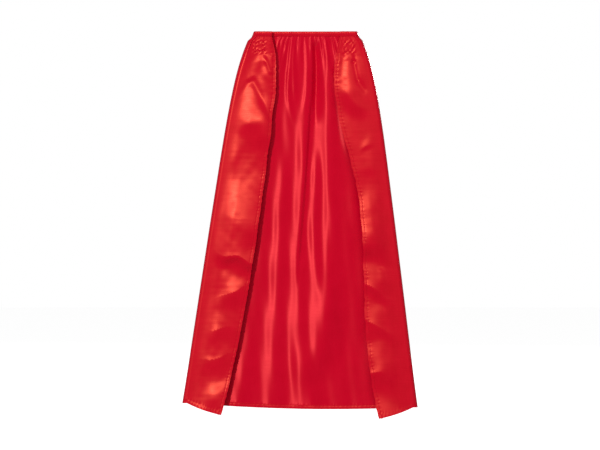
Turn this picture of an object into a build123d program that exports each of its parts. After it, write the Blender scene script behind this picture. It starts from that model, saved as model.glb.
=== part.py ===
"""Child's satin costume cape, closed: the two fronts are folded over the back.

The cloth is one rectangle, gathered at the top by an elastic that runs in a casing. Its bottom and
its two front edges are turned in and stitched, and each front has a patch of hook fastener on its inside.

Millimetres. +Z is up, the cape's front faces -Y, and the origin is the middle of the neck opening,
level with the top of the casing. "s" is the distance down from there, so s = -Z. Left is -X and
right is +X, as the cape is seen from the front. A side is -1 for left and +1 for right.
"""

import os
from math import exp

from build123d import *

# Driving dimensions
CAPE_LENGTH = 700.0  # top of the casing to the hem, at the middle of the back
LEAN = -11.0  # how far the hem's middle lies to the left of the neck's middle
CLOTH = 0.5  # thickness of the satin
FOLD_RADIUS = 8.0  # of the cloth where it turns from back to front, so the layers are twice that apart

# Half the cape's width is a straight flare, drawn in towards the neck over the first few centimetres
FLARE_START = 121.7
FLARE_SLOPE = 0.139
NECK_DRAW_IN = 23.1
NECK_DRAW_LENGTH = 60.0

# Hems
HEM_HEIGHT = 8.0
EDGE_HEM_WIDTH = 7.0
STITCH_INSET = 1.6  # from a hem strip's inner border to its line of stitching
BACK_HEM_LEFT_S = 689.0  # where the back's hem meets the left fold
BACK_HEM_RIGHT_S = 697.0
HEM_BOW = 2.5  # how far a front's hem bows down between its corners

# Each front's free edge, as (x, s) from the casing down to the hem
LEFT_EDGE = [(-63, 10), (-55, 55), (-59, 140), (-81, 313), (-119, 550), (-156, 711)]
RIGHT_EDGE = [(64, 10), (54, 60), (57, 135), (93, 280), (109, 505), (136, 718)]

# Neck casing and the elastic inside it
CASING_HEIGHT = 10.0
CASING_DEPTH = 3.0
CASING_ROUND = 1.3
TUNNEL_HEIGHT = 7.4
TUNNEL_DEPTH = 1.8
ELASTIC_WIDTH = 6.0
ELASTIC_THICKNESS = 1.0
ELASTIC_END_GAP = 2.0  # from an elastic's end to the mouth of its casing
CASING_SEAM_RISE = -3.2  # the seam's height from the casing's middle

# Hook patches
PATCH_SIZE = 20.0
PATCH_CORNER = 1.5
PATCH_THICKNESS = 1.4
PATCH_X = {"left": 85.0, "right": 80.0}  # outwards from the middle
PATCH_S = 29.0
PATCH_SEAM_INSET = 1.8

# Sewing thread
THREAD_WIDTH = 0.5
THREAD_THICKNESS = 0.2

# Clearance
FRONT_TO_FOLD = 0.5  # a front stays this far from the fold that it turns on

# Worked out from the dimensions above
BACK_Y = FOLD_RADIUS
FRONT_Y = -FOLD_RADIUS
HALF_CLOTH = CLOTH / 2
FOLD_POINTS = 6
RUN_OUT = 20.0  # past both ends of a fold, trimmed off again
UNDER = (Align.CENTER, Align.CENTER, Align.MAX)
SIDES = {"left": -1, "right": 1}
FREE_EDGE = {"left": LEFT_EDGE, "right": RIGHT_EDGE}
FOLD_HEM_S = {"left": BACK_HEM_LEFT_S, "right": BACK_HEM_RIGHT_S}

os.makedirs("parts", exist_ok=True)


def save(part, label):
    """Labels a finished piece and writes it to its own STEP file."""
    part.label = label
    export_step(part, f"parts/{label}.step")


def fold_x(side, s):
    """X of the axis that the cloth turns round, at distance s down one side."""
    half_width = FLARE_START + FLARE_SLOPE * s - NECK_DRAW_IN * exp(-s / NECK_DRAW_LENGTH)
    return LEAN * s / CAPE_LENGTH + side * (half_width - FOLD_RADIUS)


def fold_points(side, top_s, hem_s, inset=0.0):
    """Points down a fold, closer together near the neck, where it curves most."""
    shares = [(i / (FOLD_POINTS - 1)) ** 2 for i in range(FOLD_POINTS)]
    downs = [top_s + (hem_s - top_s) * share for share in shares]
    return [(fold_x(side, s) - side * inset, -s) for s in downs]


def shifted(points, dx=0.0, dz=0.0):
    """The same sketch points, moved sideways or upwards."""
    return [(x + dx, z + dz) for x, z in points]


def layer(y):
    """The upright plane at depth y. Its normal points to the front."""
    return Plane.XZ.offset(-y)


# Outlines of the three panels
back_hem_points = [
    (fold_x(-1, BACK_HEM_LEFT_S), -BACK_HEM_LEFT_S),
    (LEAN, -CAPE_LENGTH),
    (fold_x(1, BACK_HEM_RIGHT_S), -BACK_HEM_RIGHT_S),
]


def draw_back_outline():
    """The closed outline of the back, in the line that is being built."""
    left = Spline(*fold_points(-1, CASING_HEIGHT, BACK_HEM_LEFT_S))
    right = Spline(*fold_points(1, CASING_HEIGHT, BACK_HEM_RIGHT_S))
    ThreePointArc(*back_hem_points)
    Line(left @ 0, right @ 0)


def front_edge_points(name):
    """The free edge of a front, as sketch points."""
    return [(x, -s) for x, s in FREE_EDGE[name]]


def front_hem_points(name):
    """The hem of a front: its corner at the fold, the middle of its bow, and its free corner."""
    side = SIDES[name]
    hem_s = FOLD_HEM_S[name]
    fold_corner = (fold_x(side, hem_s) - side * FRONT_TO_FOLD, -hem_s)
    free_corner = front_edge_points(name)[-1]
    middle_x = (fold_corner[0] + free_corner[0]) / 2
    middle_z = (fold_corner[1] + free_corner[1]) / 2
    return [fold_corner, (middle_x, middle_z - HEM_BOW), free_corner]


def draw_front_outline(name):
    """The closed outline of a front, in the line that is being built."""
    fold = Spline(*fold_points(SIDES[name], CASING_HEIGHT, FOLD_HEM_S[name], FRONT_TO_FOLD))
    edge = Spline(*front_edge_points(name))
    ThreePointArc(*front_hem_points(name))
    Line(fold @ 0, edge @ 0)


def panel(y, draw_outline):
    """A whole panel of cloth, with its middle at depth y."""
    with BuildPart() as made:
        with BuildSketch(layer(y)):
            with BuildLine():
                draw_outline()
            make_face()
        extrude(amount=HALF_CLOTH, both=True)
    return made.part


def strip(y, thickness, draw_outline, draw_line, width, draw_left_out=None):
    """A strip of cloth or thread along a line, trimmed to a panel's outline.

    The strip reaches half its width to each side of the line. It can stop at the edge hem's border.
    """
    with BuildPart() as made:
        with BuildSketch(layer(y)):
            with BuildLine():
                draw_outline()
            make_face()
            with BuildLine():
                draw_line()
            trace(line_width=width, mode=Mode.INTERSECT)
            if draw_left_out:
                with BuildLine():
                    draw_left_out()
                trace(line_width=2 * EDGE_HEM_WIDTH, mode=Mode.SUBTRACT)
        extrude(amount=thickness / 2, both=True)
    return made.part


def thread_pair(outer_y, inner_y, draw_outline, draw_line, draw_left_out=None):
    """A seam's two threads: the needle's on the cloth's outer face and the bobbin's on its inner one."""
    size = (THREAD_THICKNESS, draw_outline, draw_line, THREAD_WIDTH, draw_left_out)
    outer = strip(outer_y, *size)
    inner = strip(inner_y, *size)
    return Compound(children=[*outer.solids(), *inner.solids()])


# Back panel and its hem. The hem is turned up on the inside, which is the side towards the front.
half_thread = THREAD_THICKNESS / 2
back_hem_y = BACK_Y - CLOTH
back_seam_points = shifted(back_hem_points, dz=HEM_HEIGHT - STITCH_INSET)


def draw_back_hem():
    """The back's lower edge, in the line that is being built."""
    ThreePointArc(*back_hem_points)


def draw_back_seam():
    """The line of stitching along the back's hem, in the line that is being built."""
    ThreePointArc(*back_seam_points)


save(panel(BACK_Y, draw_back_outline), "back_panel")
save(strip(back_hem_y, CLOTH, draw_back_outline, draw_back_hem, 2 * HEM_HEIGHT), "back_hem")
save(
    thread_pair(
        BACK_Y + HALF_CLOTH + half_thread,
        back_hem_y - HALF_CLOTH - half_thread,
        draw_back_outline,
        draw_back_seam,
    ),
    "back_hem_thread",
)


# The fronts, each with a hem along the bottom and another along the free edge, both turned inwards
def make_front(name):
    """Makes and saves one front panel, its two hems and the thread of both seams."""
    hem_y = FRONT_Y + CLOTH
    thread_ys = (FRONT_Y - HALF_CLOTH - half_thread, hem_y + HALF_CLOTH + half_thread)
    edge = front_edge_points(name)
    hem = front_hem_points(name)

    def outline():
        draw_front_outline(name)

    def edge_line():
        Spline(*edge)

    def edge_seam():
        Spline(*shifted(edge, dx=SIDES[name] * (EDGE_HEM_WIDTH - STITCH_INSET)))

    def hem_line():
        ThreePointArc(*hem)

    def hem_seam():
        ThreePointArc(*shifted(hem, dz=HEM_HEIGHT - STITCH_INSET))

    save(panel(FRONT_Y, outline), f"front_{name}_panel")
    save(strip(hem_y, CLOTH, outline, edge_line, 2 * EDGE_HEM_WIDTH), f"front_{name}_edge_hem")
    save(
        strip(hem_y, CLOTH, outline, hem_line, 2 * HEM_HEIGHT, edge_line),
        f"front_{name}_bottom_hem",
    )
    save(thread_pair(*thread_ys, outline, edge_seam), f"front_{name}_edge_thread")
    save(thread_pair(*thread_ys, outline, hem_seam, edge_line), f"front_{name}_hem_thread")


for front_name in SIDES:
    make_front(front_name)


# The cloth's turn at each side: half of a ring that follows the fold
def half_ring(name, radius, thickness, top_s, bottom_s):
    """The outer half of a ring swept down one side's fold, cut level at its top and bottom."""
    side = SIDES[name]
    hem_s = FOLD_HEM_S[name]
    path_points = fold_points(side, -RUN_OUT, hem_s + RUN_OUT)
    reach = 2 * CAPE_LENGTH
    with BuildPart() as ring:
        with BuildLine():
            spine = Spline(*[(x, 0, z) for x, z in path_points])
        with BuildSketch(Plane(origin=spine @ 0, x_dir=(0, 1, 0), z_dir=spine % 0)):
            Circle(radius + thickness / 2)
            Circle(radius - thickness / 2, mode=Mode.SUBTRACT)
        sweep(path=spine)
        with BuildSketch(layer(0)):
            with BuildLine():
                border = Spline(*fold_points(side, CASING_HEIGHT, hem_s))
                top = border @ 0
                bottom = border @ 1
                Polyline(top, (side * reach, top.Y), (side * reach, bottom.Y), bottom)
            make_face()
        extrude(amount=2 * radius, both=True, mode=Mode.INTERSECT)
        with Locations((0, 0, -top_s)):
            Box(reach, reach, bottom_s - top_s, align=UNDER, mode=Mode.INTERSECT)
    return ring.part


def make_side_fold(name):
    """Makes and saves the cloth that turns from the back to one front, and its hem."""
    hem_s = FOLD_HEM_S[name]
    hem_top = hem_s - HEM_HEIGHT
    seam_top = hem_top + STITCH_INSET - THREAD_WIDTH / 2
    seam_span = (seam_top, seam_top + THREAD_WIDTH)
    outer_thread = FOLD_RADIUS + HALF_CLOTH + half_thread
    inner_thread = FOLD_RADIUS - HALF_CLOTH - CLOTH - half_thread
    threads = [
        half_ring(name, radius, THREAD_THICKNESS, *seam_span) for radius in (outer_thread, inner_thread)
    ]
    fold = half_ring(name, FOLD_RADIUS, CLOTH, CASING_HEIGHT, hem_s)
    save(fold, f"side_fold_{name}")
    save(half_ring(name, FOLD_RADIUS - CLOTH, CLOTH, hem_top, hem_s), f"side_fold_hem_{name}")
    save(Compound(children=[ring.solid() for ring in threads]), f"side_fold_hem_thread_{name}")


for fold_name in SIDES:
    make_side_fold(fold_name)


# Neck casing: a flat tunnel of cloth with the elastic in it, as straight stretches and half turns
CASING_MIDDLE_Z = -CASING_HEIGHT / 2
NECK_FOLD_X = fold_x(1, 0)


def draw_casing():
    """The casing's section, in the sketch that is being built."""
    RectangleRounded(CASING_DEPTH, CASING_HEIGHT, CASING_ROUND)
    Rectangle(TUNNEL_DEPTH, TUNNEL_HEIGHT, mode=Mode.SUBTRACT)


def draw_elastic():
    """The elastic's section, in the sketch that is being built."""
    Rectangle(ELASTIC_THICKNESS, ELASTIC_WIDTH)


def draw_casing_seam():
    """The section of the two threads of the casing's seam, in the sketch that is being built."""
    reach = CASING_DEPTH / 2 + half_thread
    with Locations((-reach, CASING_SEAM_RISE), (reach, CASING_SEAM_RISE)):
        Rectangle(THREAD_THICKNESS, THREAD_WIDTH)


def straight_run(draw_section, x0, x1, y):
    """A straight stretch of a neck section from x0 to x1, at depth y."""
    start = Plane(origin=(x0, y, CASING_MIDDLE_Z), x_dir=(0, 1, 0), z_dir=(1, 0, 0))
    with BuildPart() as run:
        with BuildSketch(start):
            draw_section()
        extrude(amount=x1 - x0)
    return run.part


def half_turn(draw_section, side):
    """The stretch of a neck section that goes round one side of the neck."""
    x = side * NECK_FOLD_X
    start = Plane(origin=(x, BACK_Y, CASING_MIDDLE_Z), x_dir=(0, 1, 0), z_dir=(1, 0, 0))
    with BuildPart() as turn:
        with BuildSketch(start):
            draw_section()
        revolve(axis=Axis((x, 0, 0), (0, 0, -side)), revolution_arc=180)
    return turn.part


def make_neck_run(label, draw_section, end_gap=0.0):
    """Makes and saves one neck section all the way round, in its five stretches."""
    save(straight_run(draw_section, -NECK_FOLD_X, NECK_FOLD_X, BACK_Y), f"{label}_back")
    for name, side in SIDES.items():
        near_fold = side * (NECK_FOLD_X - FRONT_TO_FOLD)
        free_end = FREE_EDGE[name][0][0] + side * end_gap
        save(half_turn(draw_section, side), f"{label}_turn_{name}")
        save(straight_run(draw_section, *sorted((near_fold, free_end)), FRONT_Y), f"{label}_{name}")


make_neck_run("neck_casing", draw_casing)
make_neck_run("neck_elastic", draw_elastic, ELASTIC_END_GAP)
make_neck_run("neck_casing_thread", draw_casing_seam)


# Hook patches, on the inside of the fronts just below the casing
def make_patch(name):
    """Makes and saves one front's patch, and the square of thread that shows on the outer face."""
    centre = (SIDES[name] * PATCH_X[name], -PATCH_S)
    seam_size = PATCH_SIZE - 2 * PATCH_SEAM_INSET
    with BuildPart() as patch:
        with BuildSketch(layer(FRONT_Y + HALF_CLOTH)):
            with Locations(centre):
                RectangleRounded(PATCH_SIZE, PATCH_SIZE, PATCH_CORNER)
        extrude(amount=-PATCH_THICKNESS)
    save(patch.part, f"hook_patch_{name}")

    with BuildPart() as stitching:
        with BuildSketch(layer(FRONT_Y - HALF_CLOTH)):
            with Locations(centre):
                Rectangle(seam_size + THREAD_WIDTH, seam_size + THREAD_WIDTH)
                Rectangle(seam_size - THREAD_WIDTH, seam_size - THREAD_WIDTH, mode=Mode.SUBTRACT)
        extrude(amount=THREAD_THICKNESS)
    save(stitching.part, f"hook_patch_stitching_{name}")


for patch_name in SIDES:
    make_patch(patch_name)
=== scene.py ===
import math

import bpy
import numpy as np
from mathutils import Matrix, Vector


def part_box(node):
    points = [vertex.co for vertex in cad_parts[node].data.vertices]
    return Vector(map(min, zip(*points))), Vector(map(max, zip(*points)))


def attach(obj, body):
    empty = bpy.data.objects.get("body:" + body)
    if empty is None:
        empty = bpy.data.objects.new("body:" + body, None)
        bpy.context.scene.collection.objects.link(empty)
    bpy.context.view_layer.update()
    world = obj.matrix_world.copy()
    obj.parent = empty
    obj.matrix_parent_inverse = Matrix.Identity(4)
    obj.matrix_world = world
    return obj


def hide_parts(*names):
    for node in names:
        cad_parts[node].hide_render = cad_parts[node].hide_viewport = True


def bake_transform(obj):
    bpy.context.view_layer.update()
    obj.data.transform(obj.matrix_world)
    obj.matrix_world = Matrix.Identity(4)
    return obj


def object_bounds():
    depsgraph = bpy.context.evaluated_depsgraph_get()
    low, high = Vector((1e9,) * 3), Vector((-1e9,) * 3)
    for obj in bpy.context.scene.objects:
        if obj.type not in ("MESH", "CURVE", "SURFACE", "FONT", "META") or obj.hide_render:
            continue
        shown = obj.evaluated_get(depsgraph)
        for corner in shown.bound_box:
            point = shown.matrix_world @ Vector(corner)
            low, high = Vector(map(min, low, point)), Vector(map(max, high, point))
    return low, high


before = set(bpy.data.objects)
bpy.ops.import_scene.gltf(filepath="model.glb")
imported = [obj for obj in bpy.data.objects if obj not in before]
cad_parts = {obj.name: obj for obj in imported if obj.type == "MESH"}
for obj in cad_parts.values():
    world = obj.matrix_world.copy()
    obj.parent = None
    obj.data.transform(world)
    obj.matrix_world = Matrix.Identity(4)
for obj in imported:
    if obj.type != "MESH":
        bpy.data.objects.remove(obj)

# A child's red satin cape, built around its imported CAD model.
#
# The cloth is one surface. A place on it is (q, s): s is the distance down from the neck, and q runs
# along the cloth from the left front's free edge round to the right front's. Lengths are millimetres
# until a mesh is made. Outlines and places come from the CAD nodes.

MM = 0.001
LEFT, RIGHT = -1, 1
NAMES = {None: "back", LEFT: "left", RIGHT: "right"}

# Stretches of q: left front, left fold, back, right fold, right front
LEFT_FREE, LEFT_FRONT_END, BACK_START, BACK_END, RIGHT_FRONT_START, RIGHT_FREE = range(6)

# How much flat cloth each stretch of q takes, in millimetres, for its gathers and its weave
FLAT_WIDTHS = [84.0, 25.0, 404.0, 25.0, 74.0]
FLAT_LENGTH = 700.0

# Sewing
CASING_SEAM_PITCH = 3.0
SEAM_PITCH = 3.5
STITCH_LENGTH = 2.5
STITCH_WIDTH = 0.5
HEM_HEIGHT = 8.0
EDGE_HEM_WIDTH = 7.0
SEAM_INSET = 1.6  # from a hem strip's inner border to its stitching
SHEET_TOP = 8.8  # the sheets start inside the casing


def box_mm(node):
    """A CAD node's lowest and highest corners, in millimetres."""
    low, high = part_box(node)
    return np.array(low) / MM, np.array(high) / MM


cad_low, cad_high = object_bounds()
BACK_LOW, BACK_HIGH = box_mm("back_panel")
CLOTH = BACK_HIGH[1] - BACK_LOW[1]
FOLD_RADIUS = box_mm("side_fold_left")[1][1] - CLOTH / 2
CASING_LOW, CASING_HIGH = box_mm("neck_casing_back")
CASING_HEIGHT = CASING_HIGH[2] - CASING_LOW[2]
CASING_DEPTH = CASING_HIGH[1] - CASING_LOW[1]
NECK_FOLD = CASING_HIGH[0]
PATCH_BOXES = {side: box_mm(f"hook_patch_{NAMES[side]}") for side in (LEFT, RIGHT)}


# ---- small helpers


def smoothstep(x, low, high):
    """0 below low, 1 above high, and a smooth rise between them."""
    t = np.clip((x - low) / (high - low), 0, 1)
    return t * t * (3 - 2 * t)


def mix(a, b, share):
    """a at share 0, b at share 1."""
    return a + (b - a) * share


def ripple(x, y, wavelength, seed, waves=7):
    """Smooth seeded noise from about -1 to 1, whose waves run every way."""
    rng = np.random.default_rng(seed)
    total = 0
    for _ in range(waves):
        angle = rng.uniform(0, math.tau)
        phase = rng.uniform(0, math.tau)
        step = math.tau / (wavelength * rng.uniform(0.7, 1.4))
        total = total + np.sin(step * (x * math.cos(angle) + y * math.sin(angle)) + phase)
    return total / math.sqrt(waves * 2)


def wander(x, wavelength, seed, waves=5):
    """Smooth seeded noise from about -1 to 1 along one direction."""
    rng = np.random.default_rng(seed)
    total = 0
    for _ in range(waves):
        step = math.tau / (wavelength * rng.uniform(0.65, 1.6))
        total = total + np.sin(step * x + rng.uniform(0, math.tau))
    return total / math.sqrt(waves * 2)


def unit(vector):
    """A vector's direction."""
    return vector / np.linalg.norm(vector)


def lengths_along(points):
    """How far along a line of points each of them is."""
    steps = np.linalg.norm(np.diff(points, axis=0), axis=-1)
    return np.concatenate([[0], np.cumsum(steps)])


def at_length(place, lengths, values):
    """The point or direction at a length along a line."""
    return np.array([np.interp(place, lengths, values[:, i]) for i in range(3)])


# ---- outlines, read from the CAD nodes


def spans(node, along, across, levels):
    """A node's lowest and highest coordinate across, at each level along. Axes are 0, 1 or 2."""
    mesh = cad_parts[node].data
    points = np.array([v.co for v in mesh.vertices]) / MM
    pairs = np.array([e.vertices for e in mesh.edges])
    p, q = points[pairs[:, 0]], points[pairs[:, 1]]
    lows, highs = [], []
    for level in levels:
        a, b = p[:, along] - level, q[:, along] - level
        cut = (a * b <= 0) & (np.abs(a - b) > 1e-6)
        share = a[cut] / (a[cut] - b[cut])
        hits = mix(p[cut, across], q[cut, across], share)
        lows.append(hits.min())
        highs.append(hits.max())
    return np.array(lows), np.array(highs)


def curve_down(node, side, last):
    """x of one side of a node against s, as a function that runs on straight past both ends."""
    downs = np.linspace(TOP_S, last, 90)
    low, high = spans(node, 2, 0, -downs)
    xs = high if side == RIGHT else low
    start_slope = (xs[1] - xs[0]) / (downs[1] - downs[0])
    end_slope = (xs[-1] - xs[-4]) / (downs[-1] - downs[-4])

    def x_at(s):
        inside = np.interp(s, downs, xs)
        before = np.minimum(s - downs[0], 0) * start_slope
        after = np.maximum(s - downs[-1], 0) * end_slope
        return inside + before + after

    return x_at


def curve_along_hem(node, side=None):
    """s of a node's lower border against x. A front's border ends at its free edge."""
    low, high = box_mm(node)
    xs = np.linspace(low[0] + 0.3, high[0] - 0.3, 120)
    lowest, _ = spans(node, 0, 2, xs)
    if side is not None:
        inside = side * (xs - FREE_X[side](-low[2] - 0.5)) > 0
        xs, lowest = xs[inside], lowest[inside]
    return lambda x: np.interp(x, xs, -lowest)


def bottom_s(node):
    """s of a node's lowest point."""
    return -box_mm(node)[0][2]


TOP_S = CASING_HEIGHT + 0.3
FREE_X = {
    LEFT: curve_down("front_left_panel", RIGHT, bottom_s("front_left_panel") - 0.4),
    RIGHT: curve_down("front_right_panel", LEFT, bottom_s("front_right_panel") - 0.4),
}
CAD_FOLD_X = {
    LEFT: curve_down("back_panel", LEFT, bottom_s("side_fold_left") - 0.6),
    RIGHT: curve_down("back_panel", RIGHT, bottom_s("side_fold_right") - 0.6),
}
HEM_S = {
    None: curve_along_hem("back_panel"),
    LEFT: curve_along_hem("front_left_panel", LEFT),
    RIGHT: curve_along_hem("front_right_panel", RIGHT),
}


def fold_x(side, s):
    """x of the line that the cloth turns round. It meets the casing's own turn at the top."""
    return mix(side * NECK_FOLD, CAD_FOLD_X[side](s), smoothstep(s, 7, 19))


def free_x(side, s):
    """x of a front's free edge, a little scalloped by its stitching."""
    scallop = 0.45 * wander(s, 13, 31 + side) + 0.8 * wander(s, 60, 41 + side)
    return FREE_X[side](s) + scallop * smoothstep(s, 12, 40)


def front_share(side, q):
    """0 at a front's free edge, 1 at its fold."""
    return q if side == LEFT else RIGHT_FREE - q


def hem_s(q):
    """s of the hem at column q."""
    q = np.asarray(q, float)
    left_share = np.clip(front_share(LEFT, q), 0, 1)
    right_share = np.clip(front_share(RIGHT, q), 0, 1)
    back_share = np.clip(q - BACK_START, 0, 1)
    s_left = s_back = s_right = np.full(q.shape, FLAT_LENGTH)
    # a column's x depends on s, and the hem's s on x, so a few rounds settle both
    for _ in range(4):
        s_left = HEM_S[LEFT](mix(FREE_X[LEFT](s_left), fold_x(LEFT, s_left), left_share))
        s_back = HEM_S[None](mix(fold_x(LEFT, s_back), fold_x(RIGHT, s_back), back_share))
        s_right = HEM_S[RIGHT](mix(FREE_X[RIGHT](s_right), fold_x(RIGHT, s_right), right_share))
    s = np.where(q < LEFT_FRONT_END, s_left, s_back)
    return np.where(q > RIGHT_FRONT_START, s_right, s)


def free_corner_s(side):
    """s of a front's free corner."""
    free_column = LEFT_FREE if side == LEFT else RIGHT_FREE
    return float(hem_s(free_column))


# ---- the cloth's relief


FLAT_STARTS = np.concatenate([[0], np.cumsum(FLAT_WIDTHS)])


def flat_place(q):
    """How far across the flat cloth column q is, in millimetres."""
    return np.interp(q, range(6), FLAT_STARTS)


# Wavelength on the flat cloth, height, how far down it fades, and a seed
GATHERS = [
    (9.5, 0.45, 13, 1),
    (17.0, 0.8, 26, 2),
    (29.0, 1.0, 55, 3),
    (53.0, 0.9, 130, 4),
]


def gathers(c, s):
    """The small folds that the elastic draws the cloth into, at place c across the flat cloth."""
    warped = c + 5.0 * np.sin(c / 37 + 1) + 2.5 * np.sin(c / 13.7)
    drift = 3.0 * wander(s, 260, 5)
    total = 0
    for wavelength, height, reach, seed in GATHERS:
        wave = np.sin(math.tau * (warped + drift) / wavelength + seed)
        strength = 0.55 + 0.45 * wander(c, wavelength * 3.1, seed)
        fade = np.exp(-np.maximum(s - CASING_HEIGHT, 0) / reach)
        total = total + height * wave * strength * fade
    held = 0.25 + 0.75 * smoothstep(s, CASING_HEIGHT - 1, CASING_HEIGHT + 16)
    return total * held


# Where a bell curve is steepest, as a share of its width, and its height for its slope there
STEEPEST = 0.707
SLOPE_TO_HEIGHT = 1.166


def flute(across, s, width, path, left, right, steepness, fade_in, fade_out):
    """A soft ridge down the cloth. Its left flank is steepest along path, a list of (s, place across).

    Places and flank widths are shares of the cloth's width. Steepness is that flank's slope.
    """
    downs, places = zip(*path)
    fine = np.linspace(0, 760, 381)
    line = np.interp(fine, downs, places)
    # the path's corners are rounded off over 60 mm
    window = np.hanning(31)
    padded = np.pad(line, 15, mode="edge")
    line = np.convolve(padded, window / window.sum(), mode="valid")
    away = across - np.interp(s, fine, line) - left * STEEPEST
    flank = np.where(away < 0, left, right)
    shown = smoothstep(s, *fade_in) * (1 - smoothstep(s, *fade_out))
    return steepness * SLOPE_TO_HEIGHT * left * width * np.exp(-((away / flank) ** 2)) * shown


NEVER = (900, 910)  # a fade that lies below the hem

# The back's flutes, towards the front: the steepest line of its left flank, left width, right width,
# steepness, fade in, fade out
BACK_FLUTES = [
    # the main flute, and the three creases that run together into it
    (
        [(0, 0.45), (225, 0.454), (314, 0.456), (360, 0.443), (550, 0.44), (610, 0.46), (655, 0.481),
         (700, 0.51)],
        0.062, 0.045, 0.15, (105, 180), NEVER,
    ),
    (
        [(0, 0.35), (80, 0.357), (115, 0.362), (150, 0.395), (185, 0.43)],
        0.018, 0.022, 0.17, (55, 85), (130, 185),
    ),
    ([(0, 0.385), (48, 0.394), (107, 0.413), (150, 0.43)], 0.015, 0.018, 0.18, (12, 30), (95, 145)),
    ([(0, 0.49), (60, 0.503), (115, 0.502), (165, 0.47)], 0.02, 0.022, 0.18, (10, 26), (110, 165)),
    # a narrow flute to its left
    ([(0, 0.342), (360, 0.342), (507, 0.346), (700, 0.345)], 0.036, 0.04, 0.155, (210, 310), NEVER),
    # one beside the left front, near the hem
    ([(0, 0.22), (630, 0.215), (700, 0.21)], 0.034, 0.04, 0.155, (540, 610), NEVER),
    # a small one between the main flute and the right one, which runs into a broad swelling
    ([(0, 0.55), (255, 0.547), (360, 0.538), (450, 0.55)], 0.034, 0.03, 0.16, (200, 280), (430, 500)),
    (
        [(0, 0.56), (492, 0.561), (566, 0.552), (625, 0.524), (684, 0.50)],
        0.075, 0.06, 0.23, (400, 500), (585, 660),
    ),
    # two deep folds that stay dark
    ([(0, 0.575), (60, 0.575), (140, 0.56)], 0.022, 0.035, -1.1, (10, 26), (110, 180)),
    ([(90, 0.55), (210, 0.528), (360, 0.496), (450, 0.48)], 0.013, 0.05, -0.7, (100, 170), (400, 480)),
    # the right flute, with a long slope to its right
    (
        [(0, 0.68), (48, 0.67), (107, 0.641), (166, 0.636), (343, 0.623), (418, 0.617), (492, 0.625),
         (566, 0.606)],
        0.034, 0.15, 0.15, (10, 50), (480, 580),
    ),
    (
        [(0, 0.69), (70, 0.70), (107, 0.718), (196, 0.752), (240, 0.78)],
        0.02, 0.03, 0.14, (50, 90), (200, 260),
    ),
    ([(0, 0.60), (30, 0.605), (100, 0.60)], 0.014, 0.03, 0.14, (10, 30), (60, 130)),
    ([(0, 0.31), (60, 0.30), (160, 0.28)], 0.014, 0.02, 0.13, (10, 30), (90, 200)),
]


def back_relief(b, x, s, width):
    """How far the back comes forward, for the share b across it. Its flutes keep their slopes."""
    total = 0
    for one in BACK_FLUTES:
        total = total + flute(b, s, width, *one)
    # long faint waves, and the slight unevenness of pressed cloth
    total = total + 0.5 * wander(b * 380 + 6 * wander(s, 400, 11), 38, 12) * smoothstep(s, 120, 260)
    total = total + 0.25 * ripple(x, s / 5, 22, 13)
    # swells down the cloth, which show from behind
    total = total + 1.1 * ripple(x / 3, s, 95, 14) * smoothstep(s, 60, 160)
    return total


CREST_SOFTNESS = 0.03  # of an even puff's crest


def puff(x, s, place, tilt, half_width, rise, fall, steepness, even=False):
    """A soft swelling with a level crest: it rises slowly above the crest and falls away below it.

    An even one keeps the same slope all the way up to its crest.
    """
    away = s - place[1] - tilt * (x - place[0])
    sideways = np.exp(-(((x - place[0]) / half_width) ** 2))
    below = np.exp(-((np.maximum(away, 0) / fall) ** 2))
    if even:
        left_over = 1 + np.minimum(away, 0) / rise
        up = (left_over + np.sqrt(left_over**2 + CREST_SOFTNESS)) / 2
        return steepness * rise * up * below * sideways
    up = np.exp(-((np.minimum(away, 0) / rise) ** 2))
    return steepness * SLOPE_TO_HEIGHT * rise * up * below * sideways


def streak(x, s, start, end, width, height):
    """A short soft ridge from start to end, both (x, s)."""
    ax, ay = start
    dx, dy = end[0] - ax, end[1] - ay
    length = math.hypot(dx, dy)
    along = ((x - ax) * dx + (s - ay) * dy) / length
    aside = ((x - ax) * -dy + (s - ay) * dx) / length
    ends = smoothstep(along, -width, width) * (1 - smoothstep(along, length - width, length + width))
    return height * np.exp(-((aside / width) ** 2)) * ends


# Swellings of the fronts: place (x, s), tilt, half width, rise, fall, steepness of the upper flank
LEFT_PUFFS = [
    ((-97, 168), 0.15, 28, 54, 30, 0.06),
    ((-74, 188), 0.6, 15, 44, 20, 0.055),
    ((-72, 80), 0.8, 13, 24, 24, 0.05),
    ((-136, 124), -0.9, 12, 34, 16, 0.05),
    ((-138, 232), 0.0, 16, 34, 26, 0.042),
    ((-120, 345), 0.1, 44, 96, 42, 0.024, True),
    ((-124, 421), 0.36, 46, 160, 15, 0.05, True),
    ((-132, 480), -0.4, 32, 48, 24, 0.064, True),
    ((-164, 550), -0.1, 36, 58, 32, 0.055, True),
    ((-174, 606), -0.25, 36, 46, 30, 0.06, True),
    ((-164, 714), -0.5, 44, 74, 30, 0.074),
]
RIGHT_PUFFS = [
    ((84, 116), 0.7, 28, 46, 28, 0.064),
    ((108, 74), 0.1, 12, 26, 22, 0.085),
    ((124, 124), 0.2, 13, 12, 10, 0.09),
    ((116, 213), -0.6, 12, 14, 8, 0.05),
    ((126, 250), 0.1, 24, 26, 16, 0.035),
    ((118, 394), 0.1, 29, 74, 20, 0.08),
    ((122, 474), 0.5, 28, 62, 14, 0.066, True),
    ((128, 545), 0.4, 24, 58, 16, 0.06, True),
    ((134, 634), 0.3, 24, 76, 16, 0.066, True),
    ((146, 718), 0.2, 28, 28, 12, 0.09),
]
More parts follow.
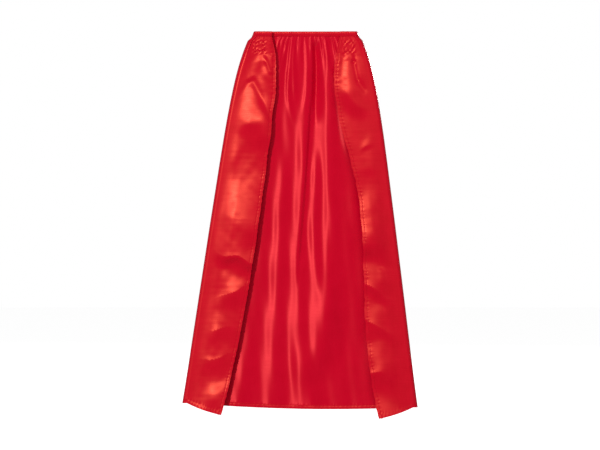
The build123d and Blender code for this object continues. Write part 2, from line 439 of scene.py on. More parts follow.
# Drawn creases: start (x, s), end (x, s), width, height
LEFT_STREAKS = [
    ((-104, 92), (-140, 138), 6, -0.8),
    ((-99, 88), (-62, 166), 6, -0.9),
    ((-108, 40), (-106, 92), 4, 0.7),
    ((-82, 34), (-64, 78), 4, 0.8),
    ((-68, 18), (-64, 44), 3, -0.8),
]
RIGHT_STREAKS = [
    ((90, 14), (89, 58), 3.5, -1.6),
    ((89, 54), (97, 92), 4, -1.6),
    ((97, 92), (112, 112), 5, -1.2),
    ((94, 42), (112, 38), 3, 0.6),
    ((140, 440), (152, 520), 6, 0.7),
    ((152, 520), (166, 640), 6, 0.7),
]


def front_relief(side, x, s, from_edge, from_fold):
    """How far a front swells towards the viewer."""
    puffs, streaks = (LEFT_PUFFS, LEFT_STREAKS) if side == LEFT else (RIGHT_PUFFS, RIGHT_STREAKS)
    total = 0
    # nothing on the cloth is quite straight
    near_x = x + 3.5 * ripple(x, s, 62, 20 + side)
    near_s = s + 4.5 * ripple(x, s, 54, 24 + side)
    for one in puffs:
        total = total + puff(near_x, near_s, *one)
    for start, end, width, height in streaks:
        total = total + streak(x, s, start, end, width, height)
    total = total + 0.16 * ripple(x, s, 60, 50 + side) + 0.04 * ripple(x, s, 22, 60 + side)
    # a soft ridge just inside the fold
    total = total + 0.8 * np.exp(-(((from_fold - 16) / 8) ** 2)) * smoothstep(s, 120, 260)
    total = total * smoothstep(from_fold, 0, 36) * smoothstep(s, CASING_HEIGHT, 45)
    return total + edge_pucker(side, s, from_edge)


def edge_pucker(side, s, from_edge):
    """The small drawn-in waves along a front's stitched free edge."""
    seam = EDGE_HEM_WIDTH - SEAM_INSET
    groove = -0.16 * np.exp(-(((from_edge - seam) / 1.1) ** 2))
    uneven = 0.6 + 0.4 * wander(s, 34, 71 + side)
    waves = 0.055 * np.sin(math.tau * s / (2 * SEAM_PITCH) + 1.5 * wander(s, 25, 81 + side)) * uneven
    return groove + waves * np.exp(-(((from_edge - seam) / 3.6) ** 2))


def hem_pucker(c, to_hem):
    """The same waves along the bottom hem."""
    seam = HEM_HEIGHT - SEAM_INSET
    groove = -0.12 * np.exp(-(((to_hem - seam) / 1.2) ** 2))
    uneven = 0.6 + 0.4 * wander(c, 40, 91)
    waves = 0.14 * np.sin(math.tau * c / (2 * SEAM_PITCH) + 1.5 * wander(c, 30, 92)) * uneven
    return groove + waves * np.exp(-(((to_hem - seam) / 3.8) ** 2))


def flattened_by_patch(side, x, s):
    """1 where the patch behind a front holds it flat, and 0 well away from it."""
    low, high = PATCH_BOXES[side]
    out_x = np.maximum(np.maximum(low[0] - x, x - high[0]), 0)
    out_s = np.maximum(np.maximum(-high[2] - s, s + low[2]), 0)
    return 1 - smoothstep(np.hypot(out_x, out_s), 0, 18)


PATCH_SEAM_HALF = (PATCH_BOXES[LEFT][1][0] - PATCH_BOXES[LEFT][0][0]) / 2 - 1.8
PATCH_PUCKER = 0.35


def patch_pucker(side, x, s):
    """The crinkles that a patch's square of stitching draws into a front."""
    low, high = PATCH_BOXES[side]
    from_middle = np.maximum(np.abs(x - (low[0] + high[0]) / 2), np.abs(s + (low[2] + high[2]) / 2))
    off_seam = from_middle - PATCH_SEAM_HALF
    return PATCH_PUCKER * ripple(x, s, 7.5, 120 + side) * np.exp(-((off_seam / 3.5) ** 2))


# ---- the cloth's surface


CROWN = 4.0  # how far a front's free edge stands out from its fold


def back_place(q, s, left, right, gather, pucker):
    """x and y of the back between its folds, at x left and right."""
    b = np.clip(q - BACK_START, 0, 1)
    x = mix(left, right, b)
    inside_folds = smoothstep(np.minimum(x - left, right - x), 0, 26)
    relief = 1.2 - back_relief(b, x, s, right - left)
    return x, FOLD_RADIUS + relief * inside_folds * smoothstep(s, 8, 40) + gather - pucker


def front_place(side, q, s, fold, gather, pucker):
    """x and y of a front between its free edge and its fold."""
    free = free_x(side, s)
    x = mix(free, fold, np.clip(front_share(side, q), 0, 1))
    from_edge, from_fold = np.abs(x - free), np.abs(fold - x)
    relief = front_relief(side, x, s, from_edge, from_fold)
    inward = from_edge / (from_fold + from_edge)
    lift = CROWN * (1 - inward**2) * smoothstep(s, 30, 240)
    flat = flattened_by_patch(side, x, s)
    out = (relief + lift) * (1 - flat) + (gather + pucker) * (1 - 0.85 * flat)
    return x, -FOLD_RADIUS - out - patch_pucker(side, x, s)


def fold_place(side, share, fold, gather, pucker):
    """x and y of a fold, whose share is 0 at the back and 1 at the front."""
    angle = math.pi * np.clip(share, 0, 1)
    radius = FOLD_RADIUS + gather + pucker * np.cos(angle)
    return fold + side * radius * np.sin(angle), radius * np.cos(angle)


def surface(q, s):
    """The place of the middle of the cloth at column q and s, in millimetres. The last axis is x, y, z."""
    q, s = np.broadcast_arrays(np.asarray(q, float), np.asarray(s, float))
    c = flat_place(q)
    gather = gathers(c, s)
    pucker = hem_pucker(c, hem_s(q) - s)
    left, right = fold_x(LEFT, s), fold_x(RIGHT, s)
    x, y = back_place(q, s, left, right, gather, pucker)
    for side, fold in ((LEFT, left), (RIGHT, right)):
        on_front = front_share(side, q) <= 1
        front_x, front_y = front_place(side, q, s, fold, gather, pucker)
        x = np.where(on_front, front_x, x)
        y = np.where(on_front, front_y, y)

        share = BACK_START - q if side == LEFT else q - BACK_END
        on_fold = (share > 0) & (share < 1)
        turned_x, turned_y = fold_place(side, share, fold, gather, pucker)
        x = np.where(on_fold, turned_x, x)
        y = np.where(on_fold, turned_y, y)
    return np.stack([x, y, -s], axis=-1)


def outward(q, s):
    """The cloth's outward direction at column q and s."""
    dq, ds = 0.002, 0.5
    across = surface(np.clip(q + dq, 0, 5), s) - surface(np.clip(q - dq, 0, 5), s)
    down = surface(q, s + ds) - surface(q, s - ds)
    normal = np.cross(across, down)
    return normal / np.linalg.norm(normal, axis=-1, keepdims=True)


# ---- mesh making


def new_object(name, mesh):
    """Puts a mesh in the scene as an object."""
    piece = bpy.data.objects.new(name, mesh)
    bpy.context.scene.collection.objects.link(piece)
    return piece


def grid_faces(rows, columns, start, reverse=False):
    """Quads of a grid of vertices numbered row by row from start."""
    r, c = np.meshgrid(np.arange(rows - 1), np.arange(columns - 1), indexing="ij")
    a = start + r * columns + c
    quads = np.stack([a, a + 1, a + columns + 1, a + columns], axis=-1).reshape(-1, 4)
    return quads[:, ::-1] if reverse else quads


def rim_faces(rows, columns, layer):
    """Quads that close a shell's border, between its outer layer and its inner one."""
    index = np.arange(rows * columns).reshape(rows, columns)
    loop = np.concatenate([index[0, :-1], index[:-1, -1], index[-1, :0:-1], index[:0:-1, 0]])
    ahead = np.roll(loop, -1)
    return np.stack([ahead, loop, loop + layer, ahead + layer], axis=-1)


def shell(name, q, s, thickness, inset=0.0):
    """A closed sheet of cloth over a grid of (q, s), moved inwards by inset, with its outer side out.

    Its first material is for the outer side and its rim, and its second for the inner side.
    """
    middle, normal = surface(q, s), outward(q, s)
    rows, columns = middle.shape[:2]
    middle = middle - normal * inset
    layer = rows * columns
    outer = (middle + normal * thickness / 2).reshape(-1, 3)
    inner = (middle - normal * thickness / 2).reshape(-1, 3)
    outer_faces = grid_faces(rows, columns, 0)
    inner_faces = grid_faces(rows, columns, layer, reverse=True)
    rim = rim_faces(rows, columns, layer)
    faces = np.concatenate([outer_faces, inner_faces, rim])

    mesh = bpy.data.meshes.new(name)
    mesh.from_pydata(np.concatenate([outer, inner]) * MM, [], faces.tolist())
    sides = np.zeros(len(faces), np.int32)
    sides[len(outer_faces):len(outer_faces) * 2] = 1
    mesh.polygons.foreach_set("material_index", sides)
    mesh.polygons.foreach_set("use_smooth", np.ones(len(faces), bool))
    add_uv(mesh, flat_place(q), s)
    set_normals(mesh, normal.reshape(-1, 3), len(outer_faces))
    return new_object(name, mesh)


def corner_vertices(mesh):
    """The vertex of each corner of each face."""
    corners = np.zeros(len(mesh.loops), np.int32)
    mesh.loops.foreach_get("vertex_index", corners)
    return corners


def add_uv(mesh, across, down):
    """UVs in metres of flat cloth, the same on both sides of a shell."""
    flat = np.stack([across, FLAT_LENGTH - down], axis=-1).reshape(-1, 2) * MM
    both = np.concatenate([flat, flat])
    uv = mesh.uv_layers.new(name="cloth")
    uv.data.foreach_set("uv", both[corner_vertices(mesh)].astype(np.float32).ravel())


def set_normals(mesh, normal, side_faces):
    """Smooth normals on both sides of a shell, the same on each side of a join, and a sharp rim."""
    given = np.concatenate([normal, -normal])[corner_vertices(mesh)]
    mesh.update()
    face_normals = np.zeros(len(mesh.polygons) * 3, np.float32)
    mesh.polygons.foreach_get("normal", face_normals)
    rim_normals = face_normals.reshape(-1, 3)[side_faces * 2:]
    given[side_faces * 2 * 4:] = np.repeat(rim_normals, 4, axis=0)
    mesh.normals_split_custom_set(given.tolist())


def merge(name, parts):
    """One object from a list of (vertices, faces), in millimetres."""
    points, faces, count = [], [], 0
    for part_points, part_faces in parts:
        points.append(part_points)
        faces += [[i + count for i in face] for face in part_faces]
        count += len(part_points)
    mesh = bpy.data.meshes.new(name)
    mesh.from_pydata(np.concatenate(points) * MM, [], faces)
    mesh.polygons.foreach_set("use_smooth", np.ones(len(faces), bool))
    return new_object(name, mesh)


def tube(centres, all_rings):
    """A closed tube over rings of points, one at each centre, with capped ends."""
    rings, around = all_rings.shape[:2]
    points = np.concatenate([all_rings.reshape(-1, 3), centres[:1], centres[-1:]])
    faces = []
    for i in range(rings - 1):
        for j in range(around):
            k = (j + 1) % around
            faces.append([i * around + j, i * around + k, (i + 1) * around + k, (i + 1) * around + j])
    first, last = rings * around, rings * around + 1
    end = (rings - 1) * around
    for j in range(around):
        k = (j + 1) % around
        faces.append([first, k, j])
        faces.append([last, end + j, end + k])
    return points, faces


STITCH_RINGS = 6
STITCH_SIDES = 6
# From the cloth's middle to the stitches on its outer side, and to those on the hem inside it
OUTER_GAP = CLOTH / 2 + 0.02
INNER_GAP = CLOTH * 1.5 + 0.04


def stitch(centre, along, normal):
    """One stitch: a short thread that dips into the cloth at both ends."""
    aside = np.cross(normal, along)
    t = np.linspace(-1, 1, STITCH_RINGS)
    radius = STITCH_WIDTH / 2 * np.sqrt(np.maximum(1 - t**4, 0.06))
    arch = 0.12 - 0.42 * t**4
    line = centre + t[:, None] * along * STITCH_LENGTH / 2 + arch[:, None] * normal
    turn = np.linspace(0, math.tau, STITCH_SIDES, endpoint=False)
    ring = np.cos(turn)[:, None] * aside + np.sin(turn)[:, None] * normal
    return tube(line, line[:, None, :] + radius[:, None, None] * ring[None, :, :])


def seam(name, q, s):
    """A row of stitches along (q, s), on both faces of the cloth and its hem, as one piece."""
    middle, normal = surface(q, s), outward(q, s)
    lengths = lengths_along(middle)
    places = np.arange(SEAM_PITCH / 2, lengths[-1], SEAM_PITCH)
    rng = np.random.default_rng(len(places))
    parts = []
    for place in places:
        at = place + rng.uniform(-0.15, 0.15)
        behind, ahead = at_length(at - 0.6, lengths, middle), at_length(at + 0.6, lengths, middle)
        along = unit(ahead - behind)
        out = at_length(at, lengths, normal)
        out = unit(out - along * (out @ along))
        centre = (behind + ahead) / 2
        parts.append(stitch(centre + out * OUTER_GAP, along, out))
        parts.append(stitch(centre - out * INNER_GAP, along, -out))
    return merge(name, parts)


# ---- materials


def nodes_of(name):
    """A new material, with its node tree and its shader."""
    material = bpy.data.materials.new(name)
    material.use_nodes = True
    tree = material.node_tree
    return material, tree, tree.nodes["Principled BSDF"]


def set_inputs(node, **inputs):
    """Sets a node's inputs by name, with underscores for spaces."""
    for name, value in inputs.items():
        node.inputs[name.replace("_", " ")].default_value = value


def add_node(tree, kind, **inputs):
    """A node with some of its inputs set."""
    node = tree.nodes.new(kind)
    set_inputs(node, **inputs)
    return node


def sum_node(tree, operation, *terms):
    """A Math node over numbers and other nodes' outputs."""
    node = tree.nodes.new("ShaderNodeMath")
    node.operation = operation
    for socket, term in zip(node.inputs, terms):
        if isinstance(term, float):
            socket.default_value = term
        else:
            tree.links.new(term, socket)
    return node.outputs[0]


def stretched_uv(tree, across, down):
    """The cloth's UV, scaled so that a noise on it is stretched across or down."""
    place = tree.nodes.new("ShaderNodeUVMap")
    place.uv_map = "cloth"
    scale = tree.nodes.new("ShaderNodeMapping")
    scale.inputs["Scale"].default_value = (across, down, 1)
    tree.links.new(place.outputs["UV"], scale.inputs["Vector"])
    return scale.outputs["Vector"]


def noise_on(tree, vector, scale, detail=2.0, roughness=0.5):
    """A noise texture over a vector."""
    noise = add_node(tree, "ShaderNodeTexNoise", Scale=scale, Detail=detail, Roughness=roughness)
    tree.links.new(vector, noise.inputs["Vector"])
    return noise.outputs["Fac"]


def mixed_colour(tree, share, low, high, first, second):
    """A colour that goes from first to second as share goes from low to high."""
    ramp = tree.nodes.new("ShaderNodeValToRGB")
    for stop, position, colour in zip(ramp.color_ramp.elements, (low, high), (first, second)):
        stop.position = position
        stop.color = (*colour, 1)
    tree.links.new(share, ramp.inputs["Fac"])
    return ramp.outputs["Color"]


def bump_of(tree, height, strength, distance, under=None):
    """Bump from a height, over another bump if one is given."""
    bump = add_node(tree, "ShaderNodeBump", Strength=strength, Distance=distance)
    tree.links.new(height, bump.inputs["Height"])
    if under is not None:
        tree.links.new(under, bump.inputs["Normal"])
    return bump.outputs["Normal"]


WEAVE_BUMP = 0.05
WEAVE_DEPTH = 0.00025  # metres


def satin(name, light, dark, roughness, anisotropy, turn, level, tint):
    """Woven satin: threads one way, so its gloss is stretched across them.

    turn is a quarter where the long threads run across the cloth, as on its inner side.
    """
    material, tree, shader = nodes_of(name)
    slubs_down = noise_on(tree, stretched_uv(tree, 900, 30), 1.0)
    slubs_across = noise_on(tree, stretched_uv(tree, 30, 700), 1.0)
    clouds = noise_on(tree, stretched_uv(tree, 1, 1), 38, 4.0, 0.6)
    thread_tone = sum_node(tree, "MULTIPLY", slubs_down, 0.45)
    tone = sum_node(tree, "MULTIPLY_ADD", clouds, 0.55, thread_tone)
    tree.links.new(mixed_colour(tree, tone, 0.3, 0.7, dark, light), shader.inputs["Base Color"])

    rough = add_node(tree, "ShaderNodeMapRange", To_Min=roughness - 0.04, To_Max=roughness + 0.05)
    tree.links.new(slubs_across, rough.inputs["Value"])
    tree.links.new(rough.outputs["Result"], shader.inputs["Roughness"])

    normal = bump_of(tree, slubs_across, WEAVE_BUMP, WEAVE_DEPTH)
    normal = bump_of(tree, slubs_down, WEAVE_BUMP, WEAVE_DEPTH, normal)
    tree.links.new(normal, shader.inputs["Normal"])

    tangent = tree.nodes.new("ShaderNodeTangent")
    tangent.direction_type = "UV_MAP"
    tangent.uv_map = "cloth"
    tree.links.new(tangent.outputs["Tangent"], shader.inputs["Tangent"])
    set_inputs(shader, Anisotropic=anisotropy, Anisotropic_Rotation=turn, Metallic=0.03)
    set_inputs(shader, Specular_Tint=(*tint, 1), Specular_IOR_Level=level)
    return material


def add_pattern(tree, shader, texture, span, colours, bump, depth):
    """Colours a shader by a texture in the object's own space, and bumps it by the same texture.

    The colour goes from the first to the second over the span of the texture's values.
    """
    coordinates = tree.nodes.new("ShaderNodeTexCoord")
    tree.links.new(coordinates.outputs["Object"], texture.inputs["Vector"])
    share = texture.outputs["Fac"]
    tree.links.new(mixed_colour(tree, share, *span, *colours), shader.inputs["Base Color"])
    tree.links.new(bump_of(tree, share, bump, depth), shader.inputs["Normal"])


def thread_material():
    """Twisted sewing thread, a shade darker than the cloth."""
    material, tree, shader = nodes_of("thread")
    twist = add_node(tree, "ShaderNodeTexWave", Scale=1400.0, Distortion=1.5)
    twist.bands_direction = "DIAGONAL"
    reds = (0.40, 0.002, 0.010), (0.56, 0.003, 0.016)
    add_pattern(tree, shader, twist, (0.1, 0.9), reds, 0.5, 0.0001)
    set_inputs(shader, Roughness=0.5, Specular_Tint=(1.0, 0.3, 0.2, 1))
    return material


def elastic_material():
    """Knitted elastic, off-white, with ribs."""
    material, tree, shader = nodes_of("elastic")
    ribs = add_node(tree, "ShaderNodeTexWave", Scale=260.0, Distortion=0.6)
    ribs.bands_direction = "Z"
    whites = (0.62, 0.6, 0.56), (0.82, 0.81, 0.78)
    add_pattern(tree, shader, ribs, (0.0, 1.0), whites, 0.8, 0.0003)
    set_inputs(shader, Roughness=0.8)
    return material


def hook_tape_material():
    """Hook tape: woven nylon in red, with a duller sheen than the satin."""
    material, tree, shader = nodes_of("hook_tape")
    weave = add_node(tree, "ShaderNodeTexNoise", Scale=900.0, Detail=2.0)
    reds = (0.33, 0.01, 0.018), (0.5, 0.02, 0.03)
    add_pattern(tree, shader, weave, (0.3, 0.7), reds, 0.6, 0.0002)
    set_inputs(shader, Roughness=0.6, Specular_IOR_Level=0.25, Specular_Tint=(1.0, 0.35, 0.3, 1))
    return material


OUTER = satin(
    "satin_outer", light=(0.66, 0.003, 0.022), dark=(0.57, 0.001, 0.016),
    roughness=0.28, anisotropy=0.9, turn=0.0, level=0.36, tint=(1.0, 0.30, 0.14),
)
INNER = satin(
    "satin_inner", light=(0.65, 0.001, 0.022), dark=(0.59, 0.000, 0.017),
    roughness=0.37, anisotropy=0.82, turn=0.25, level=0.6, tint=(1.0, 0.17, 0.15),
)
THREAD = thread_material()
ELASTIC = elastic_material()
HOOK_TAPE = hook_tape_material()


# ---- what every piece is given


def fit_out(piece, side, slot, nodes, *materials):
    """Gives a piece its materials and its motion, and hides the CAD nodes that it stands for. Its slot is
    not used.

    What belongs to the back rides on it. What belongs to a side is only baked where it stands, and does
    not bend.
    """
    for material in materials:
        piece.data.materials.append(material)
    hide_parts(*nodes)
    if side is None:
        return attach(piece, "back")
    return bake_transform(piece)


# ---- the cloth's pieces


ROWS = 330
BACK_COLUMNS = 300
FOLD_COLUMNS = 22
FRONT_COLUMNS = 72


def rows_to_hem(q):
    """s of each row below each column, from the sheet's top to the hem. They are closer at the top."""
    t = np.linspace(0, 1, ROWS)[:, None]
    t = t * (0.55 + 0.45 * t)
    return SHEET_TOP + t * (hem_s(q)[None, :] - SHEET_TOP)


def columns_of(side):
    """The columns of the back, or of one side's fold and front."""
    if side is None:
        return np.linspace(BACK_START, BACK_END, BACK_COLUMNS)
    if side == LEFT:
        front = np.linspace(LEFT_FREE, LEFT_FRONT_END, FRONT_COLUMNS, endpoint=False)
        return np.concatenate([front, np.linspace(LEFT_FRONT_END, BACK_START, FOLD_COLUMNS)])
    fold = np.linspace(BACK_END, RIGHT_FRONT_START, FOLD_COLUMNS, endpoint=False)
    return np.concatenate([fold, np.linspace(RIGHT_FRONT_START, RIGHT_FREE, FRONT_COLUMNS)])


def make_sheet(side):
    """The satin of the back, or of one side's fold and front."""
    name = "back_satin" if side is None else f"{NAMES[side]}_front_satin"
    q = columns_of(side)
    s = rows_to_hem(q)
    piece = shell(name, np.broadcast_to(q, s.shape), s, CLOTH)
    nodes = ["back_panel"]
    if side is not None:
        nodes = [f"front_{NAMES[side]}_panel", f"side_fold_{NAMES[side]}"]
    return fit_out(piece, side, "satin", nodes, OUTER, INNER)


HEM_INSET = CLOTH * 1.02  # a turned-in strip lies just inside the cloth


def make_bottom_hem(side):
    """The turned-in strip along the bottom. A front's stops at its edge hem."""
    q = columns_of(side)
    if side == LEFT:
        q = q[q > edge_hem_share(LEFT, FLAT_LENGTH)]
    elif side == RIGHT:
        q = q[q < RIGHT_FREE - edge_hem_share(RIGHT, FLAT_LENGTH)]
    s = hem_s(q)[None, :] - HEM_HEIGHT * np.linspace(1, 0.02, 7)[:, None]
    piece = shell(f"{NAMES[side]}_bottom_hem", np.broadcast_to(q, s.shape), s, CLOTH, HEM_INSET)
    nodes = ["back_hem"]
    if side is not None:
        nodes = [f"front_{NAMES[side]}_bottom_hem", f"side_fold_hem_{NAMES[side]}"]
    return fit_out(piece, side, "satin", nodes, INNER, OUTER)


def edge_hem_share(side, s):
    """How much of a front's width its edge hem takes, at s."""
    return EDGE_HEM_WIDTH / np.abs(fold_x(side, s) - FREE_X[side](s))


def make_edge_hem(side):
    """The turned-in strip down a front's free edge."""
    s = np.linspace(CASING_HEIGHT + 0.5, free_corner_s(side) - 0.3, ROWS)
    share = edge_hem_share(side, s)[:, None] * np.linspace(0.02, 1, 6)[None, :]
    q = share if side == LEFT else RIGHT_FREE - share[:, ::-1]
    piece = shell(f"{NAMES[side]}_edge_hem", q, np.broadcast_to(s[:, None], q.shape), CLOTH, HEM_INSET)
    return fit_out(piece, side, "satin", [f"front_{NAMES[side]}_edge_hem"], INNER, OUTER)


def make_hem_seam(side):
    """The stitching along the bottom hem."""
    q = columns_of(side)
    s = hem_s(q) - HEM_HEIGHT + SEAM_INSET
    piece = seam(f"{NAMES[side]}_hem_stitches", q, s)
    nodes = ["back_hem_thread"]
    if side is not None:
        nodes = [f"front_{NAMES[side]}_hem_thread", f"side_fold_hem_thread_{NAMES[side]}"]
    return fit_out(piece, side, "thread", nodes, THREAD)


def make_edge_seam(side):
    """The stitching down a front's free edge."""
    s = np.linspace(CASING_HEIGHT + 1, free_corner_s(side) - 1, 2 * ROWS)
    share = edge_hem_share(side, s) * (1 - SEAM_INSET / EDGE_HEM_WIDTH)
    q = share if side == LEFT else RIGHT_FREE - share
    piece = seam(f"{NAMES[side]}_edge_stitches", q, s)
    return fit_out(piece, side, "thread", [f"front_{NAMES[side]}_edge_thread"], THREAD)


# ---- the neck


NECK_STEP = 0.5  # from ring to ring, the same for all that bends together
NECK_SIDES = 26
NECK_LEAN = 4.0  # how far the turns' tops lie inside their bottoms
SEAM_DROP = 3.2  # from the casing's middle to its stitching
ELASTIC_LEFT_OUT = 12  # rings at a side's free end, where the elastic stops short


def neck_path(side):
    """Places round the neck at the casing, and their outward directions, for the back or one side."""
    if side is None:
        x = np.arange(-NECK_FOLD, NECK_FOLD + NECK_STEP / 2, NECK_STEP)
        flat = np.zeros_like(x)
        return np.stack([x, flat + FOLD_RADIUS, flat], -1), np.stack([flat, flat + 1, flat], -1)
    low, high = box_mm(f"neck_casing_{NAMES[side]}")
    end = high[0] if side == LEFT else low[0]
    angle = np.linspace(0, math.pi, int(math.pi * FOLD_RADIUS / NECK_STEP))
    turn_out = np.stack([side * np.sin(angle), np.cos(angle), 0 * angle], -1)
    turn = turn_out * FOLD_RADIUS + np.array([side * NECK_FOLD, 0, 0])
    x = np.arange(NECK_FOLD - NECK_STEP, abs(end), -NECK_STEP) * side
    x = np.append(x, end)
    flat = np.zeros_like(x)
    front = np.stack([x, flat - FOLD_RADIUS, flat], -1)
    front_out = np.stack([flat, flat - 1, flat], -1)
    return np.concatenate([turn, front]), np.concatenate([turn_out, front_out])


def squared(wave, power):
    """A wave from -1 to 1, made squarer by a power below 1."""
    return np.sign(wave) * np.abs(wave) ** power


def neck_rings(side, half_height, half_depth, height_power, ruche=0.0, narrowing=0.0):
    """The middles and rings of a flat oval tube round the neck, for the back or one side.

    ruche is the depth of the gathers across it. It narrows at the turns by up to narrowing.
    """
    centres, out = neck_path(side)
    along = lengths_along(centres)
    along = along - along[-1] / 2 if side is None else side * (NECK_FOLD + along)
    around = np.linspace(0, math.tau, NECK_SIDES, endpoint=False)
    rise, reach = squared(np.sin(around), height_power), squared(np.cos(around), 0.75)
    ruched = ruche > 0
    uneven = 0.7 + 0.3 * wander(along, 17, 102)
    depth = half_depth + ruche * np.sin(math.tau * along / 3.1 + 1.2 * wander(along, 21, 101)) * uneven
    crest = 0.1 * ruched * wander(along, 9, 103)
    sway = 0.4 * ruched * wander(along, 26, 104)
    # 1 at the middle of a turn, and 0 away from it
    turned = np.maximum(out[:, 0] * np.sign(centres[:, 0]), 0)
    narrow = 1 - narrowing * np.sqrt(turned)
    # the cloth below the elastic's channel is pulled in at the seam
    pinch = 1 - 0.35 * ruched * np.exp(-((rise * half_height + SEAM_DROP) ** 2))
    # the turns lean inwards towards their top
    height_share = (rise * half_height + CASING_HEIGHT / 2) / CASING_HEIGHT
    lean = np.outer(-NECK_LEAN * turned * np.sign(centres[:, 0]), height_share)

    outwards = np.outer(depth * narrow, reach * pinch)
    upwards = narrow[:, None] * rise * (half_height + np.outer(crest, rise > 0))
    middle = centres + out * sway[:, None] - np.array([0, 0, CASING_HEIGHT / 2])
    rings = middle[:, None] + outwards[..., None] * out[:, None]
    rings[..., 0] += lean
    rings[..., 2] += upwards
    return middle, rings


def neck_tube(name, side, middle, rings):
    """A tube round the neck. The left one runs the other way round, so its faces are turned over."""
    points, faces = tube(middle, rings)
    if side == LEFT:
        faces = [face[::-1] for face in faces]
    return merge(name, [(points, faces)])


def neck_nodes(start, side):
    """The CAD nodes of the back's piece of the neck, or of a side's piece with its turn."""
    straight = f"{start}_{NAMES[side]}"
    return [straight] if side is None else [straight, f"{start}_turn_{NAMES[side]}"]


def make_casing(side):
    """The ruched casing."""
    middle, rings = neck_rings(side, CASING_HEIGHT / 2 - 0.1, CASING_DEPTH / 2 - 0.25, 0.45, ruche=0.22)
    piece = neck_tube(f"{NAMES[side]}_casing", side, middle, rings)
    uv = piece.data.uv_layers.new(name="cloth")
    for loop in piece.data.loops:
        x, y, z = piece.data.vertices[loop.vertex_index].co
        uv.data[loop.index].uv = ((x + y) * 2.2, z)
    return fit_out(piece, side, "satin", neck_nodes("neck_casing", side), OUTER)


def make_elastic(side):
    """The elastic inside the casing."""
    low, high = box_mm("neck_elastic_back")
    middle, rings = neck_rings(side, (high[2] - low[2]) / 2, (high[1] - low[1]) / 2, 0.3, narrowing=0.8)
    if side is not None:
        middle, rings = middle[:-ELASTIC_LEFT_OUT], rings[:-ELASTIC_LEFT_OUT]
    piece = neck_tube(f"{NAMES[side]}_elastic", side, middle, rings)
    return fit_out(piece, side, "elastic", neck_nodes("neck_elastic", side), ELASTIC)


def make_casing_seam(side):
    """The stitching along the bottom of the casing, on both faces."""
    centres, out = neck_path(side)
    lengths = lengths_along(centres)
    drop = np.array([0, 0, CASING_HEIGHT / 2 + SEAM_DROP])
    gap = CASING_DEPTH / 2 - 0.55
    parts = []
    for place in np.arange(CASING_SEAM_PITCH / 2, lengths[-1], CASING_SEAM_PITCH):
        centre = at_length(place, lengths, centres) - drop
        along = unit(at_length(place + 0.5, lengths, centres) - drop - centre)
        normal = unit(at_length(place, lengths, out))
        parts.append(stitch(centre + normal * gap, along, normal))
        parts.append(stitch(centre - normal * gap, along, -normal))
    piece = merge(f"{NAMES[side]}_casing_stitches", parts)
    return fit_out(piece, side, "thread", neck_nodes("neck_casing_thread", side), THREAD)


# ---- the hook patches


TAPE_THICKNESS = 0.55
HOOK_MARGIN = 1.6  # from the tape's edge to its hooks
HOOK_PITCH = 1.25
HOOK_HEIGHT = 0.75
HOOK_RADIUS = 0.11


def rounded_slab(low, high, corner, edge):
    """A flat slab from low to high whose corners and edges are rounded. Its thin way is y."""
    rings = []
    turn = np.linspace(0, math.tau, 48, endpoint=False)
    centre = (low + high) / 2
    for y, shrink in ((low[1], edge), (low[1] + edge, 0), (high[1] - edge, 0), (high[1], edge)):
        half_x, half_z = (high[0] - low[0]) / 2 - shrink, (high[2] - low[2]) / 2 - shrink
        x = np.sign(np.cos(turn)) * (half_x - corner) + corner * np.cos(turn)
        z = np.sign(np.sin(turn)) * (half_z - corner) + corner * np.sin(turn)
        rings.append(np.stack([centre[0] + x, np.full_like(x, y), centre[2] + z], -1))
    middles = np.array([[centre[0], low[1], centre[2]], [centre[0], high[1], centre[2]]])
    return tube(middles, np.array(rings))


def hook(place, lean):
    """One moulded hook: a stem that bends over at its top, to the side that lean says."""
    t = np.linspace(0, 1, 7)[:, None]
    bend = 0.34 * (1 - np.cos(t * 2.3)) * lean
    up = HOOK_HEIGHT * np.sin(t * 2)
    line = place + np.array([1.0, 0, 0]) * bend + np.array([0, 1.0, 0]) * up
    turn = np.linspace(0, math.tau, 5, endpoint=False)
    ring = np.stack([np.cos(turn), 0 * turn, np.sin(turn)], -1) * HOOK_RADIUS
    return tube(line, line[:, None, :] + ring[None])


def make_patch(side):
    """A patch of hook tape on the inside of a front, with its hooks."""
    low, high = PATCH_BOXES[side]
    tape_high = np.array([high[0], low[1] + TAPE_THICKNESS, high[2]])
    parts = [rounded_slab(low, tape_high, 1.5, 0.12)]
    rng = np.random.default_rng(9)
    for i, x in enumerate(np.arange(low[0] + HOOK_MARGIN, high[0] - HOOK_MARGIN, HOOK_PITCH)):
        for z in np.arange(low[2] + HOOK_MARGIN, high[2] - HOOK_MARGIN, HOOK_PITCH):
            jitter = rng.uniform(-0.12, 0.12, 2)
            place = np.array([x + jitter[0], tape_high[1] - 0.05, z + jitter[1]])
            parts.append(hook(place, 1 if i % 2 else -1))
    piece = merge(f"{NAMES[side]}_hook_patch", parts)
    return fit_out(piece, side, "hook_fastener", [f"hook_patch_{NAMES[side]}"], HOOK_TAPE)


def column_at(side, x, s):
    """The column of a front that is at x, at s."""
    free = free_x(side, s)
    share = float((x - free) / (fold_x(side, s) - free))
    return share if side == LEFT else RIGHT_FREE - share


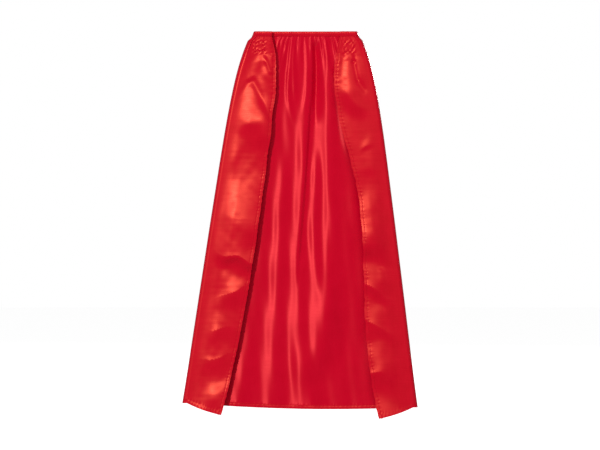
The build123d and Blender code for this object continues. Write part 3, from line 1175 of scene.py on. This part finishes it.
def make_patch_stitches(side):
    """The square of stitching that holds a patch, on the outer face."""
    low, high = box_mm(f"hook_patch_stitching_{NAMES[side]}")
    corners = [(low[0], low[2]), (high[0], low[2]), (high[0], high[2]), (low[0], high[2])]
    normal = np.array([0, -1.0, 0])
    parts = []
    for i, (x0, z0) in enumerate(corners):
        x1, z1 = corners[(i + 1) % 4]
        length = math.hypot(x1 - x0, z1 - z0)
        along = np.array([x1 - x0, 0, z1 - z0]) / length
        for place in np.arange(CASING_SEAM_PITCH / 2, length, CASING_SEAM_PITCH):
            x, z = x0 + along[0] * place, z0 + along[2] * place
            y = surface(column_at(side, x, -z), -z)[1] - OUTER_GAP
            parts.append(stitch(np.array([x, y, z]), along, normal))
    piece = merge(f"{NAMES[side]}_patch_stitches", parts)
    return fit_out(piece, side, "thread", [f"hook_patch_stitching_{NAMES[side]}"], THREAD)


# ---- build


for side in (None, LEFT, RIGHT):
    sheet = make_sheet(side)
    hems = [make_bottom_hem(side), make_hem_seam(side), make_casing_seam(side)]
    casing = make_casing(side)
    make_elastic(side)
    if side is not None:
        hems += [make_edge_hem(side), make_edge_seam(side)]
        make_patch(side)
        make_patch_stitches(side)


# ---- stage, light and camera


MIDDLE = (cad_low + cad_high) / 2  # of the cape, in metres


def make_floor():
    """A plain pale floor, just below the cape."""
    mesh = bpy.data.meshes.new("floor")
    size, z = 30.0, cad_low.z - 0.09
    corners = [(-size, -size, z), (size, -size, z), (size, size, z), (-size, size, z)]
    mesh.from_pydata(corners, [], [[0, 1, 2, 3]])
    floor = new_object("floor", mesh)
    material, _, shader = nodes_of("floor")
    set_inputs(shader, Base_Color=(0.8, 0.8, 0.8, 1), Roughness=0.9)
    set_inputs(shader, Emission_Color=(1, 1, 1, 1), Emission_Strength=0.75)
    mesh.materials.append(material)
    # it is bright to look at, but lights nothing
    floor.visible_diffuse = False
    floor.visible_glossy = False


def make_world():
    """An even white surround."""
    world = bpy.data.worlds.new("surround")
    bpy.context.scene.world = world
    world.use_nodes = True
    tree = world.node_tree
    lit_by = tree.nodes["Background"]
    set_inputs(lit_by, Color=(1, 1, 1, 1), Strength=0.28)
    seen = add_node(tree, "ShaderNodeBackground", Color=(1, 1, 1, 1))
    path = tree.nodes.new("ShaderNodeLightPath")
    either = tree.nodes.new("ShaderNodeMixShader")
    tree.links.new(path.outputs["Is Camera Ray"], either.inputs[0])
    tree.links.new(lit_by.outputs[0], either.inputs[1])
    tree.links.new(seen.outputs[0], either.inputs[2])
    tree.links.new(either.outputs[0], tree.nodes["World Output"].inputs["Surface"])


def make_area(name, place, size, power, glossy=True):
    """A soft rectangular light, turned to the cape's middle."""
    light = bpy.data.lights.new(name, "AREA")
    light.shape = "RECTANGLE"
    light.size, light.size_y = size
    light.energy = power
    lamp = bpy.data.objects.new(name, light)
    bpy.context.scene.collection.objects.link(lamp)
    lamp.location = place
    lamp.rotation_mode = "QUATERNION"
    lamp.rotation_quaternion = (MIDDLE - Vector(place)).to_track_quat("-Z", "Y")
    lamp.visible_glossy = glossy


def light_place(azimuth, elevation, distance):
    """A place round the cape, in degrees right of and above the camera's line, and metres away."""
    around, up = math.radians(azimuth), math.radians(elevation)
    step = np.array([math.sin(around) * math.cos(up), -math.cos(around) * math.cos(up), math.sin(up)])
    return tuple(np.array(MIDDLE) + step * distance)


def make_camera():
    """Square on to the cape's front, level with its middle."""
    view_height = 0.834
    lens, sensor, aspect = 500.0, 36.0, 4 / 3
    camera_data = bpy.data.cameras.new("camera")
    camera_data.lens, camera_data.sensor_width = lens, sensor
    distance = view_height * aspect / sensor * lens
    camera = bpy.data.objects.new("camera", camera_data)
    camera.location = (MIDDLE.x, -distance, MIDDLE.z)
    camera.rotation_euler = (math.pi / 2, 0, 0)
    bpy.context.scene.collection.objects.link(camera)
    bpy.context.scene.camera = camera


make_floor()
make_world()
make_area("key", light_place(-18, 9.2, 20.0), (1.3, 1.0), 1960)
make_area("fill", light_place(4, 38, 4.0), (1.8, 1.5), 50, glossy=False)
make_area("back_key", light_place(152, 9, 14.0), (1.3, 1.0), 950)
make_area("back_fill", light_place(184, 38, 4.0), (1.8, 1.5), 50, glossy=False)
make_camera()
bpy.context.scene.view_settings.view_transform = "Standard"
